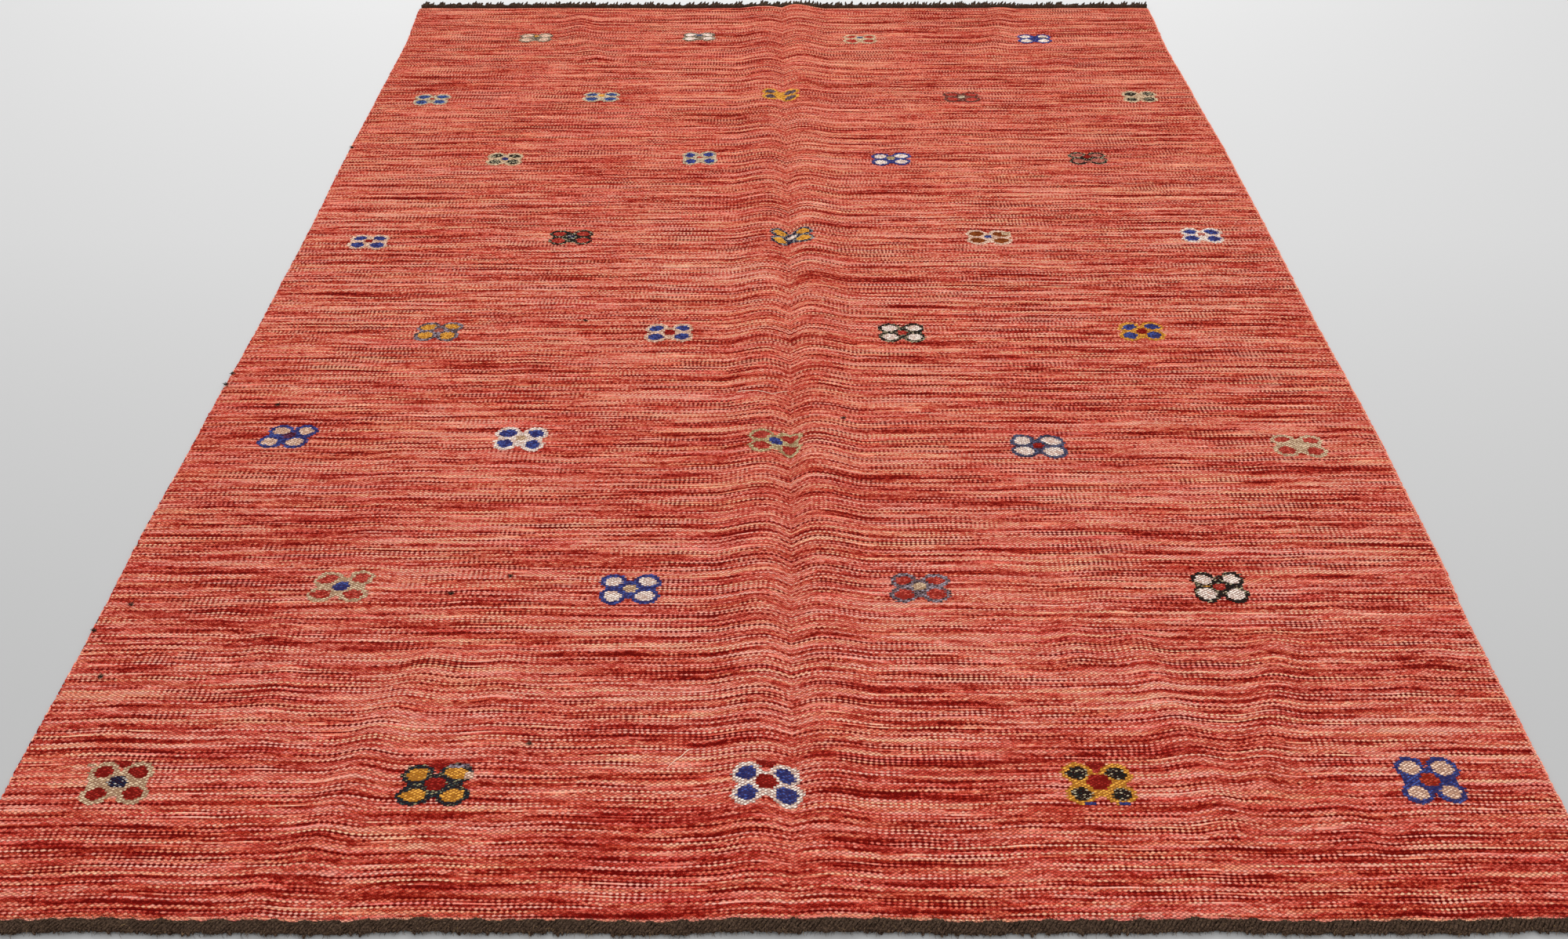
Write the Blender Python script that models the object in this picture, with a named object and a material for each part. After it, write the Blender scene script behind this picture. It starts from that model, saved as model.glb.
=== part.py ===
"""A flat-woven wool rug lying on the floor: one cloth, and a plaited warp finish along each end.

Metres, +Z up. X runs across the rug and Y along it, with the near end at -Y. The floor is z = 0,
and the origin is the middle of the rug's box, on the floor."""

import math
from collections import namedtuple

import bmesh
import bpy

# The cloth
CLOTH_LENGTH = 3.0
CLOTH_WIDTH = 1.99
CLOTH_THICKNESS = 0.003
LEAST_LIFT = 0.0005  # a fold lower than this lies on the floor

# Slow wander of the cloth's two ends, as (height of the wave, its length, its start in turns)
Wave = namedtuple("Wave", "height length start")
NEAR_END_WAVES = (Wave(0.0016, 0.43, 0.15), Wave(0.0010, 0.19, 0.60))
FAR_END_WAVES = (Wave(0.0014, 0.51, 0.40), Wave(0.0008, 0.23, 0.05))

# How far each side edge stands outside its straight line, at places along the rug
Side = namedtuple("Side", "along left right")
SIDES = (
    Side(-1.50, 0.0100, -0.0030),
    Side(-1.27, 0.0115, -0.0040),
    Side(-1.00, 0.0070, -0.0030),
    Side(-0.81, 0.0080, 0.0050),
    Side(-0.50, 0.0020, 0.0085),
    Side(-0.11, -0.0060, 0.0045),
    Side(0.20, -0.0080, 0.0055),
    Side(0.57, -0.0050, 0.0045),
    Side(0.90, -0.0065, -0.0020),
    Side(1.22, -0.0085, -0.0080),
    Side(1.50, 0.0030, -0.0020),
)

# The lengthwise middle fold: a sharp valley between two rounded crests
CREST_OUT = 0.036  # from the valley to a crest
FOOT_OUT = 0.130  # from the valley to where the fold meets the floor
Fold = namedtuple("Fold", "along middle left_crest right_crest valley")
MIDDLE_FOLD = (
    Fold(-1.50, 0.008, 0.0050, 0.0060, 0.0020),
    Fold(-1.27, 0.008, 0.0090, 0.0100, 0.0015),
    Fold(-1.08, 0.007, 0.0120, 0.0120, 0.0040),
    Fold(-0.88, 0.008, 0.0130, 0.0130, 0.0020),
    Fold(-0.62, 0.008, 0.0110, 0.0190, 0.0030),
    Fold(-0.40, 0.008, 0.0100, 0.0130, 0.0020),
    Fold(-0.11, 0.008, 0.0120, 0.0140, 0.0030),
    Fold(0.20, 0.006, 0.0110, 0.0130, 0.0030),
    Fold(0.57, 0.002, 0.0120, 0.0100, 0.0030),
    Fold(0.90, -0.002, 0.0080, 0.0090, 0.0020),
    Fold(1.22, -0.006, 0.0120, 0.0130, 0.0040),
    Fold(1.50, -0.009, 0.0060, 0.0105, 0.0020),
)

# Soft ridges left by the quarter folds and by handling: from one point to another, with the
# distance over which each falls away, and its height
Ridge = namedtuple("Ridge", "from_x from_y to_x to_y spread height")
RIDGES = (
    Ridge(-0.500, -1.07, -0.545, -1.20, 0.032, 0.0090),
    Ridge(-0.545, -1.20, -0.585, -1.40, 0.030, 0.0105),
    Ridge(-0.700, -1.08, -0.702, -1.14, 0.026, 0.0040),
    Ridge(-0.735, -0.99, -0.745, -1.05, 0.026, 0.0040),
    Ridge(-0.820, -0.96, -0.822, -1.02, 0.024, 0.0030),
    Ridge(-0.395, -1.06, -0.400, -1.12, 0.028, 0.0040),
    Ridge(-0.632, -1.44, -0.630, -1.49, 0.022, 0.0040),
    Ridge(0.410, -0.98, 0.415, -1.06, 0.026, 0.0050),
    Ridge(0.500, -1.03, 0.530, -1.20, 0.028, 0.0080),
    Ridge(0.530, -1.20, 0.560, -1.36, 0.030, 0.0100),
    Ridge(0.695, -1.03, 0.665, -1.14, 0.028, 0.0090),
    Ridge(0.665, -1.14, 0.610, -1.29, 0.028, 0.0100),
    Ridge(0.855, -1.11, 0.920, -1.05, 0.024, 0.0040),
    Ridge(0.700, -1.32, 0.720, -1.38, 0.024, 0.0040),
    Ridge(0.745, -1.44, 0.750, -1.49, 0.022, 0.0040),
    Ridge(-0.548, 1.42, -0.545, 1.30, 0.032, 0.0080),
    Ridge(-0.545, 1.30, -0.480, 1.14, 0.032, 0.0080),
    Ridge(0.590, 1.47, 0.530, 1.20, 0.032, 0.0060),
    Ridge(0.680, 1.16, 0.700, 1.08, 0.028, 0.0040),
)

# The grid that the cloth is built on. Each band ends where the next begins and has equal steps.
# Across, places run from the middle fold, 0, to a side edge, 1, and the other half mirrors them.
Band = namedtuple("Band", "start end steps")
BANDS_ACROSS = (
    Band(0.000, 0.036, 2),
    Band(0.036, 0.132, 4),
    Band(0.132, 0.380, 3),
    Band(0.380, 0.740, 11),
    Band(0.740, 1.000, 4),
)
BANDS_ALONG = (
    Band(-1.50, -0.95, 12),
    Band(-0.95, 1.05, 15),
    Band(1.05, 1.50, 8),
)

# The plaits. Each is a lumpy cord of the cut warps, laid against the cloth's end: the near one
# flatter, the far one standing higher. A plait is built as rings a step apart.
Plait = namedtuple("Plait", "outwards width height step")
NEAR_PLAIT = Plait(-1, 0.0182, 0.0104, 0.0125)
FAR_PLAIT = Plait(1, 0.0128, 0.0114, 0.0100)
PLAIT_GAP = 0.0005  # between the cloth's end and the plait
PLAIT_SHORT = 0.004  # the plait stops this far inside each side edge
PLAIT_FOLLOWS = 0.35  # of the cloth's lift, which the plait sags below
LUMPS = (Wave(0.13, 0.034, 0.0), Wave(0.09, 0.061, 0.3), Wave(0.05, 0.0187, 0.7))
RingPoint = namedtuple("RingPoint", "out up")
RING = (
    RingPoint(0.15, 0.00),
    RingPoint(0.85, 0.00),
    RingPoint(1.00, 0.28),
    RingPoint(0.97, 0.68),
    RingPoint(0.66, 1.00),
    RingPoint(0.25, 0.97),
    RingPoint(0.00, 0.62),
    RingPoint(0.00, 0.22),
)
TIP_SIDE = 2  # the ring's outer side, between points 2 and 3, from which the cut tips stand

# The cut warp ends that stand from a plait: one in so many steps, with their length, their lean
# along the plait, their rise and how much of their root's size the tip keeps
Tips = namedtuple("Tips", "every length lean rise keeps")
NEAR_TIPS = Tips(3, 0.0035, 0.0020, -0.0004, 0.62)
FAR_TIPS = Tips(2, 0.0072, 0.0040, 0.0048, 0.38)

Colour = namedtuple("Colour", "red green blue")
CLOTH_RED = Colour(0.560, 0.118, 0.075)
WARP_BROWN = Colour(0.040, 0.027, 0.018)
WOOL_ROUGHNESS = 0.9


def smooth_step(part):
    return 0.5 - 0.5 * math.cos(math.pi * min(max(part, 0.0), 1.0))


def read_table(rows, along, column):
    """The column's value at a place along the rug, eased from row to row."""
    for before, after in zip(rows, rows[1:]):
        if along <= after.along:
            part = smooth_step((along - before.along) / (after.along - before.along))
            low, high = getattr(before, column), getattr(after, column)
            return low + (high - low) * part
    return getattr(rows[-1], column)


def sum_waves(waves, place):
    return sum(
        wave.height * math.sin(math.tau * (place / wave.length + wave.start)) for wave in waves
    )


def middle_fold_lift(x, y):
    out = x - read_table(MIDDLE_FOLD, y, "middle")
    crest = read_table(MIDDLE_FOLD, y, "left_crest" if out < 0 else "right_crest")
    if abs(out) < CREST_OUT:
        valley = read_table(MIDDLE_FOLD, y, "valley")
        return valley + (crest - valley) * math.sin(0.5 * math.pi * abs(out) / CREST_OUT)
    return crest * (1 - smooth_step((abs(out) - CREST_OUT) / (FOOT_OUT - CREST_OUT)))


def ridge_lift(ridge, x, y):
    """A ridge's height falls away with the distance from its line."""
    run_x, run_y = ridge.to_x - ridge.from_x, ridge.to_y - ridge.from_y
    part = ((x - ridge.from_x) * run_x + (y - ridge.from_y) * run_y) / (run_x**2 + run_y**2)
    part = min(max(part, 0.0), 1.0)
    away = math.hypot(x - ridge.from_x - part * run_x, y - ridge.from_y - part * run_y)
    return ridge.height * math.exp(-((away / ridge.spread) ** 2))


def lift(x, y):
    """How far the cloth's underside stands off the floor."""
    highest = max(ridge_lift(ridge, x, y) for ridge in RIDGES)
    return max(0.0, middle_fold_lift(x, y) + highest - LEAST_LIFT)


def side_edge(y, column):
    sign = -1 if column == "left" else 1
    return sign * (CLOTH_WIDTH / 2 + read_table(SIDES, y, column))


def near_end(x):
    return -CLOTH_LENGTH / 2 + sum_waves(NEAR_END_WAVES, x)


def far_end(x):
    return CLOTH_LENGTH / 2 + sum_waves(FAR_END_WAVES, x)


def band_places(bands):
    places = [bands[0].start]
    for band in bands:
        step = (band.end - band.start) / band.steps
        places += [band.start + step * (i + 1) for i in range(band.steps)]
    return places


def places_across():
    half = band_places(BANDS_ACROSS)
    return [-place for place in reversed(half[1:])] + half


def cloth_point(across, along):
    """Where a grid point of the underside lies. The grid's middle line follows the fold."""
    middle = read_table(MIDDLE_FOLD, along, "middle")
    edge = side_edge(along, "left" if across < 0 else "right")
    x = middle + (edge - middle) * abs(across)
    part = along / (CLOTH_LENGTH / 2)
    shift = far_end(x) - CLOTH_LENGTH / 2 if part > 0 else near_end(x) + CLOTH_LENGTH / 2
    y = along + shift * abs(part) ** 4  # only the last stretch follows the end's wander
    return x, y, lift(x, y)


def make_material(name, colour):
    material = bpy.data.materials.new(name)
    material.use_nodes = True
    shader = material.node_tree.nodes["Principled BSDF"]
    shader.inputs["Base Color"].default_value = (*colour, 1)
    shader.inputs["Roughness"].default_value = WOOL_ROUGHNESS
    shader.inputs["Metallic"].default_value = 0
    material.diffuse_color = (*colour, 1)
    return material


def add_object(name, bm, material):
    bmesh.ops.recalc_face_normals(bm, faces=bm.faces)
    mesh = bpy.data.meshes.new(name)
    bm.to_mesh(mesh)
    bm.free()
    mesh.materials.append(material)
    mesh.shade_smooth()
    mesh.set_sharp_from_angle(angle=math.radians(50))
    obj = bpy.data.objects.new(name, mesh)
    bpy.context.scene.collection.objects.link(obj)
    return obj


def make_cloth():
    """The underside is built as a grid, raised for the upper side, and closed along its border."""
    across = places_across()
    bm = bmesh.new()
    rows = [[bm.verts.new(cloth_point(u, v)) for u in across] for v in band_places(BANDS_ALONG)]
    for near, far in zip(rows, rows[1:]):
        for i in range(len(across) - 1):
            bm.faces.new((near[i], far[i], far[i + 1], near[i + 1]))
    raised = bmesh.ops.extrude_face_region(bm, geom=bm.faces[:])["geom"]
    points = [item for item in raised if isinstance(item, bmesh.types.BMVert)]
    bmesh.ops.translate(bm, verts=points, vec=(0, 0, CLOTH_THICKNESS))
    return add_object("kilim_cloth", bm, make_material("woven_wool", CLOTH_RED))


def read_end(end_row, x):
    """Where the cloth's built end lies at x, and its height, straight between grid points."""
    for before, after in zip(end_row, end_row[1:]):
        if x <= after[0]:
            part = (x - before[0]) / (after[0] - before[0])
            return [low + (high - low) * part for low, high in zip(before[1:], after[1:])]
    return end_row[-1][1:]


def plait_ring(bm, x, end_row, plait):
    """One cross-section of a plait, lumpier at some places than at others."""
    size = 1 + sum_waves(LUMPS, x)
    end, lifted = read_end(end_row, x)
    floor = PLAIT_FOLLOWS * lifted
    ring = []
    for point in RING:
        y = end + plait.outwards * (PLAIT_GAP + point.out * plait.width * size)
        ring.append(bm.verts.new((x, y, floor + point.up * plait.height * size)))
    return ring


def raise_tips(bm, sides, tips, outwards):
    """Draws each chosen outer side out into a cut end that leans one way, then the other."""
    chosen = sides[1 :: tips.every]
    drawn = bmesh.ops.extrude_discrete_faces(bm, faces=chosen)["faces"]
    for i, face in enumerate(drawn):
        middle = face.calc_center_median()
        longer = 1 + 0.35 * math.sin(2.4 * i)
        lean = tips.lean * math.sin(0.37 * i + 0.8)
        move = (lean, outwards * tips.length * longer, tips.rise * longer)
        for vert in face.verts:
            vert.co = middle + (vert.co - middle) * tips.keeps
        bmesh.ops.translate(bm, verts=face.verts, vec=move)


def make_plait(name, plait, tips, material):
    end_row = [cloth_point(u, plait.outwards * CLOTH_LENGTH / 2) for u in places_across()]
    left = end_row[0][0] + PLAIT_SHORT
    right = end_row[-1][0] - PLAIT_SHORT
    count = round((right - left) / plait.step)
    places = [left + (right - left) * i / count for i in range(count + 1)]
    bm = bmesh.new()
    rings = [plait_ring(bm, x, end_row, plait) for x in places]
    sides = []
    for ring, following in zip(rings, rings[1:]):
        for i in range(len(RING)):
            j = (i + 1) % len(RING)
            face = bm.faces.new((ring[i], ring[j], following[j], following[i]))
            if i == TIP_SIDE:
                sides.append(face)
    bm.faces.new(rings[0])
    bm.faces.new(reversed(rings[-1]))
    raise_tips(bm, sides, tips, plait.outwards)
    return add_object(name, bm, material)


def centre_box(objects):
    """Moves the meshes so that the middle of their box stands over the origin."""
    points = [vert.co for obj in objects for vert in obj.data.vertices]
    for axis in (0, 1):
        shift = (min(p[axis] for p in points) + max(p[axis] for p in points)) / 2
        for point in points:
            point[axis] -= shift


def main():
    for obj in list(bpy.data.objects):
        bpy.data.objects.remove(obj, do_unlink=True)
    warp = make_material("warp_wool", WARP_BROWN)
    pieces = [
        make_cloth(),
        make_plait("near_end_plait", NEAR_PLAIT, NEAR_TIPS, warp),
        make_plait("far_end_plait", FAR_PLAIT, FAR_TIPS, warp),
    ]
    centre_box(pieces)


main()
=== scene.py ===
import math

import bpy
import numpy as np
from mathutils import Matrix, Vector
from mathutils.bvhtree import BVHTree


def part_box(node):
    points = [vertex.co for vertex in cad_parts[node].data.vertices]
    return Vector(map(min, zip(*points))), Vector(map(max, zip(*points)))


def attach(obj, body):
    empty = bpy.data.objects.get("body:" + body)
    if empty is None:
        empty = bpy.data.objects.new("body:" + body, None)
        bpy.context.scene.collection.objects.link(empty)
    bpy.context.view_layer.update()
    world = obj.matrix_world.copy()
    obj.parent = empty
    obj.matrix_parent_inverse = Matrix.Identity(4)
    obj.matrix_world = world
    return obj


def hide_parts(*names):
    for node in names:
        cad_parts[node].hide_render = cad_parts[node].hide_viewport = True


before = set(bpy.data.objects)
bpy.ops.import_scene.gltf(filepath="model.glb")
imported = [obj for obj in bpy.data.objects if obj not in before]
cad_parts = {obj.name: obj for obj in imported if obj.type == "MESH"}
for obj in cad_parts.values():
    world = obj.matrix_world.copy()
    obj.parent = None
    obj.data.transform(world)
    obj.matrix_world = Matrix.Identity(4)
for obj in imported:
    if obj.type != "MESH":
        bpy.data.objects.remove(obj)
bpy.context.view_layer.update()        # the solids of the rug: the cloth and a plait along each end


def hexColour(text):
    # sRGB hex to the linear values that a socket takes
    parts = [int(text[i:i + 2], 16) / 255 for i in (1, 3, 5)]
    return [p / 12.92 if p <= 0.04045 else ((p + 0.055) / 1.055) ** 2.4 for p in parts]


def easeStep(part):
    part = np.clip(part, 0, 1)
    return 0.5 - 0.5 * np.cos(np.pi * part)


def readRows(rows, place, column):
    # eases from row to row of a table whose first column is the place along the rug
    places = np.array([row[0] for row in rows])
    values = np.array([row[column] for row in rows])
    i = np.clip(np.searchsorted(places, place) - 1, 0, len(rows) - 2)
    part = easeStep((place - places[i]) / (places[i + 1] - places[i]))
    return values[i] + (values[i + 1] - values[i]) * part


def softNoise(x, y, cellX, cellY, seed):
    # smooth noise from -1 to 1 whose bumps are about cellX by cellY
    table = np.random.default_rng(seed).uniform(-1, 1, (64, 64))
    px, py = np.asarray(x) / cellX + 500.5, np.asarray(y) / cellY + 500.5
    ix, iy = np.floor(px).astype(int), np.floor(py).astype(int)
    fx, fy = px - ix, py - iy
    fx, fy = fx * fx * (3 - 2 * fx), fy * fy * (3 - 2 * fy)
    near = table[ix % 64, iy % 64] * (1 - fx) + table[(ix + 1) % 64, iy % 64] * fx
    far = table[ix % 64, (iy + 1) % 64] * (1 - fx) + table[(ix + 1) % 64, (iy + 1) % 64] * fx
    return near * (1 - fy) + far * fy


def sumWaves(waves, place):
    return sum(h * np.sin(2 * np.pi * (place / length + start)) for h, length, start in waves)


def addPrimitive(kind, **options):
    pick()
    getattr(bpy.ops.mesh, "primitive_%s_add" % kind)(**options)
    return bpy.context.object


def setMode(mode):
    bpy.ops.object.mode_set(mode=mode)


def pick(*objects):
    # select only these and make the first active
    if bpy.context.mode != "OBJECT":
        setMode("OBJECT")
    bpy.ops.object.select_all(action="DESELECT")
    for obj in objects:
        obj.select_set(True)
    if objects:
        bpy.context.view_layer.objects.active = objects[0]


def applyModifiers(obj):
    pick(obj)
    for modifier in list(obj.modifiers):
        bpy.ops.object.modifier_apply(modifier=modifier.name)


def joinInto(body, *others):
    pick(body, *others)
    bpy.ops.object.join()


def smooth(obj, degrees):
    pick(obj)
    bpy.ops.object.shade_smooth_by_angle(angle=math.radians(degrees))


def dress(obj, *wools):
    for wool in wools:
        obj.data.materials.append(wool)


def meshPoints(mesh):
    points = np.empty(len(mesh.vertices) * 3)
    mesh.vertices.foreach_get("co", points)
    return points.reshape(-1, 3)


def setPoints(mesh, points):
    mesh.vertices.foreach_set("co", np.asarray(points, np.float32).ravel())
    mesh.update()


def keepAbove(mesh, least):
    points = meshPoints(mesh)
    points[:, 2] = np.maximum(points[:, 2], least)
    setPoints(mesh, points)


def copiedFaces(obj, times):
    # the faces of so many copies of one small mesh, one copy after another
    count = len(obj.data.vertices)
    sides = [list(face.vertices) for face in obj.data.polygons]
    return [[k * count + corner for corner in side] for k in range(times) for side in sides]


def thicken(obj, deep):
    # downwards from the surface
    shell = obj.modifiers.new("thickness", "SOLIDIFY")
    shell.thickness = deep
    shell.offset = -1
    applyModifiers(obj)


def setTone(mesh, tones):
    layer = mesh.attributes.new("tone", "FLOAT", "POINT")
    layer.data.foreach_set("value", np.asarray(tones, np.float32))


def addObject(name, data):
    obj = bpy.data.objects.new(name, data)
    bpy.context.scene.collection.objects.link(obj)
    return obj


def meshFrom(name, points, faces, materialIndex, tones):
    mesh = bpy.data.meshes.new(name)
    mesh.from_pydata(points.tolist(), [], faces)
    mesh.polygons.foreach_set("material_index", np.asarray(materialIndex, np.int32))
    setTone(mesh, tones)
    return addObject(name, mesh)


def feed(tree, value, socket):
    # a number, a colour, a socket or a ShaderValue into a node's socket
    value = value.socket if isinstance(value, ShaderValue) else value
    if isinstance(value, bpy.types.NodeSocket):
        tree.links.new(value, socket)
    elif value is not None:
        socket.default_value = (*value, 1) if isinstance(value, (list, tuple)) else value


class ShaderValue:
    # a value in a shader; arithmetic with it makes math nodes
    def __init__(self, tree, socket):
        self.tree, self.socket = tree, socket

    def calc(self, operation, b=None, c=None, clamp=False):
        node = self.tree.nodes.new("ShaderNodeMath")
        node.operation = operation
        node.use_clamp = clamp
        for socket, value in zip(node.inputs, (self, b, c)):
            feed(self.tree, value, socket)
        return ShaderValue(self.tree, node.outputs[0])

    def line(self, factor, added, clamp=False):
        return self.calc("MULTIPLY_ADD", factor, added, clamp)

    def __add__(self, other):
        return self.calc("ADD", other)

    def __sub__(self, other):
        return self.calc("SUBTRACT", other)

    def __mul__(self, other):
        return self.calc("MULTIPLY", other)

    def __truediv__(self, other):
        return self.calc("DIVIDE", other)

    def __pow__(self, other):
        return self.calc("POWER", other)

    def __abs__(self):
        return self.calc("ABSOLUTE")


def partsOf(tree, place):
    parts = tree.nodes.new("ShaderNodeSeparateXYZ")
    tree.links.new(place, parts.inputs[0])
    return [ShaderValue(tree, part) for part in parts.outputs]


def noiseNode(tree, place, dimensions, scale, detail, roughness):
    noise = tree.nodes.new("ShaderNodeTexNoise")
    noise.noise_dimensions = dimensions
    for name, value in (("Scale", scale), ("Detail", detail), ("Roughness", roughness)):
        noise.inputs[name].default_value = value
    tree.links.new(place, noise.inputs["Vector"])
    return ShaderValue(tree, noise.outputs[0])


def fleckNoise(tree, scale, detail=2.0, roughness=0.5):
    place = tree.nodes.new("ShaderNodeTexCoord").outputs["Object"]
    return noiseNode(tree, place, "3D", scale, detail, roughness)


def drawnOut(across, along, scaleX, scaleY, start=0, detail=1, roughness=0.5):
    # a noise with scaleX and scaleY bumps per unit across and along
    tree = across.tree
    place = tree.nodes.new("ShaderNodeCombineXYZ")
    feed(tree, across * scaleX, place.inputs[0])
    feed(tree, along.line(scaleY, start), place.inputs[1])
    return noiseNode(tree, place.outputs[0], "2D", 1, detail, roughness)


def toneOf(tree):
    attribute = tree.nodes.new("ShaderNodeAttribute")
    attribute.attribute_name = "tone"
    return ShaderValue(tree, attribute.outputs["Fac"])


def rampOf(value, stops):
    ramp = value.tree.nodes.new("ShaderNodeValToRGB")
    elements = ramp.color_ramp.elements
    while len(elements) > 1:
        elements.remove(elements[0])
    elements[0].position = stops[0][0]
    elements[0].color = (*hexColour(stops[0][1]), 1)
    for place, colour in stops[1:]:
        elements.new(place).color = (*hexColour(colour), 1)
    feed(value.tree, value, ramp.inputs[0])
    return ramp.outputs[0]


def mixColour(tree, factor, a, b, blend="MIX"):
    node = tree.nodes.new("ShaderNodeMix")
    node.data_type = "RGBA"
    node.blend_type = blend
    for name, value in (("Factor", factor), ("A", a), ("B", b)):
        feed(tree, value, [s for s in node.inputs if s.name == name and s.enabled][0])
    return [s for s in node.outputs if s.enabled][0]


def newMaterial(name):
    material = bpy.data.materials.new(name)
    material.use_nodes = True
    shader = material.node_tree.nodes["Principled BSDF"]
    shader.inputs["Roughness"].default_value = 0.9
    shader.inputs["Specular IOR Level"].default_value = 0.02
    return material, material.node_tree, shader


def finishWool(shader, colour, height, distance, strength):
    feed(shader.id_data, colour, shader.inputs["Base Color"])
    bump = height.tree.nodes.new("ShaderNodeBump")
    bump.inputs["Strength"].default_value = strength
    bump.inputs["Distance"].default_value = distance
    feed(height.tree, height, bump.inputs["Height"])
    feed(height.tree, bump.outputs[0], shader.inputs["Normal"])


studio = {
    "cameraAt": (-0.003, -2.647, 1.529),  # the photograph's own place, above the near end
    "cameraTilt": 36.8,                   # degrees below level
    "lens": 35.53,
    "keyPower": 112, "keySize": 4, "keyAt": (-0.2, 2.6, 3.6),
    "fillPower": 44, "fillSize": 4, "fillAt": (0.6, -2.6, 3.2),
    "skyStrength": 0.76,
    # greys of the floor from near to far: painted light, darker near and lighter far
    "floorLightStops": [
        (0.3, "#aaaaaa"), (0.385, "#b2b2b2"), (0.44, "#bbbbbb"),
        (0.52, "#c6c6c6"), (0.64, "#cdcdcd"), (0.72, "#d4d4d4"),
    ],
}


def makeCamera(sizes):
    data = bpy.data.cameras.new("photoCamera")
    data.lens = sizes["lens"]
    data.sensor_width = 36
    camera = addObject("photoCamera", data)
    x, y, z = sizes["cameraAt"]
    camera.location = (x + frameShift[0], y + frameShift[1], z)
    camera.rotation_euler = (math.radians(90 - sizes["cameraTilt"]), 0, 0)
    bpy.context.scene.camera = camera


def makeLight(name, sizes):
    data = bpy.data.lights.new(name + "Light", "AREA")
    data.shape = "DISK"
    data.size = sizes[name + "Size"]
    data.energy = sizes[name + "Power"]
    light = addObject(name + "Light", data)
    light.location = sizes[name + "At"]
    light.rotation_euler = (-light.location).to_track_quat("-Z", "Y").to_euler()


def makeFloor(sizes):
    floor = addPrimitive("plane", size=16)
    floor.name = "paleFloor"
    material, tree, shader = newMaterial("paleFloor")
    y = partsOf(tree, tree.nodes.new("ShaderNodeTexCoord").outputs["Object"])[1]
    # painted light: the floor's grey rises from near to far
    colour = rampOf(y.line(0.1, 0.5, clamp=True), sizes["floorLightStops"])
    feed(tree, colour, shader.inputs["Base Color"])
    dress(floor, material)


def makeStudio(sizes):
    makeCamera(sizes)
    makeLight("key", sizes)
    makeLight("fill", sizes)
    makeFloor(sizes)
    world = bpy.data.worlds.new("studioSky")
    world.use_nodes = True
    sky = world.node_tree.nodes["Background"]
    sky.inputs["Color"].default_value = (1, 1, 1, 1)
    sky.inputs["Strength"].default_value = sizes["skyStrength"]
    bpy.context.scene.world = world
    bpy.context.scene.view_settings.view_transform = "Standard"
    print("studio ready")


cloth = {
    "length": 3, "width": 1.99, "thickness": 0.003,
    "crestOut": 0.036, "footOut": 0.13, "leastLift": 0.0005,
    # along, how far the left and the right edge stand out
    "edgeRows": [
        (-1.5, 0.01, -0.003), (-1.27, 0.0115, -0.004), (-1, 0.007, -0.003),
        (-0.81, 0.008, 0.005), (-0.5, 0.002, 0.0085), (-0.11, -0.006, 0.0045),
        (0.2, -0.008, 0.0055), (0.57, -0.005, 0.0045), (0.9, -0.0065, -0.002),
        (1.22, -0.0085, -0.008), (1.5, 0.003, -0.002),
    ],
    # along, the crease's place, the left crest, the right crest, the valley
    "foldRows": [
        (-1.5, 0.008, 0.005, 0.006, 0.002), (-1.27, 0.008, 0.009, 0.01, 0.0015),
        (-1.08, 0.007, 0.012, 0.012, 0.004), (-0.88, 0.008, 0.013, 0.013, 0.002),
        (-0.62, 0.008, 0.011, 0.019, 0.003), (-0.4, 0.008, 0.01, 0.013, 0.002),
        (-0.11, 0.008, 0.012, 0.014, 0.003), (0.2, 0.006, 0.011, 0.013, 0.003),
        (0.57, 0.002, 0.012, 0.01, 0.003), (0.9, -0.002, 0.008, 0.009, 0.002),
        (1.22, -0.006, 0.012, 0.013, 0.004), (1.5, -0.009, 0.006, 0.0105, 0.002),
    ],
    # soft ridges: from x, y to x, y, the reach on either side and the height
    "ridges": [
        (-0.5, -1.07, -0.545, -1.2, 0.032, 0.009), (-0.545, -1.2, -0.585, -1.4, 0.03, 0.0105),
        (-0.7, -1.08, -0.702, -1.14, 0.026, 0.004), (-0.735, -0.99, -0.745, -1.05, 0.026, 0.004),
        (-0.82, -0.96, -0.822, -1.02, 0.024, 0.003), (-0.395, -1.06, -0.4, -1.12, 0.028, 0.004),
        (-0.632, -1.44, -0.63, -1.49, 0.022, 0.004), (0.41, -0.98, 0.415, -1.06, 0.026, 0.005),
        (0.5, -1.03, 0.53, -1.2, 0.028, 0.008), (0.53, -1.2, 0.56, -1.36, 0.03, 0.01),
        (0.695, -1.03, 0.665, -1.14, 0.028, 0.009), (0.665, -1.14, 0.61, -1.29, 0.028, 0.01),
        (0.855, -1.11, 0.92, -1.05, 0.024, 0.004), (0.7, -1.32, 0.72, -1.38, 0.024, 0.004),
        (0.745, -1.44, 0.75, -1.49, 0.022, 0.004), (-0.548, 1.42, -0.545, 1.3, 0.032, 0.008),
        (-0.545, 1.3, -0.48, 1.14, 0.032, 0.008), (0.59, 1.47, 0.53, 1.2, 0.032, 0.006),
        (0.68, 1.16, 0.7, 1.08, 0.028, 0.004),
    ],
    # slow waves of the near and of the far end: height, length, start in turns
    "nearWaves": [(0.0016, 0.43, 0.15), (0.001, 0.19, 0.6)],
    "farWaves": [(0.0014, 0.51, 0.4), (0.0008, 0.23, 0.05)],
    # columns of the sheet's grid, as parts of the half width: end of the band, steps
    "columnBands": [(0.045, 9), (0.14, 12), (0.36, 12), (0.8, 33), (1, 10)],
    "rows": 320,
    "cockle": 0.0011,       # height of the small undulations
    "serration": 0.0011,    # how unevenly the outer warps lie
    # along, how far the wefts sag towards the near end in the crease
    "bowRows": [
        (-1.5, 0), (-1.3, 0.003), (-1.1, 0.006), (-0.75, 0.0085),
        (0.3, 0.008), (0.7, 0.0055), (1.5, 0.0045),
    ],
    "waver": 0.0022,        # how far they wander elsewhere
}

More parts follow.
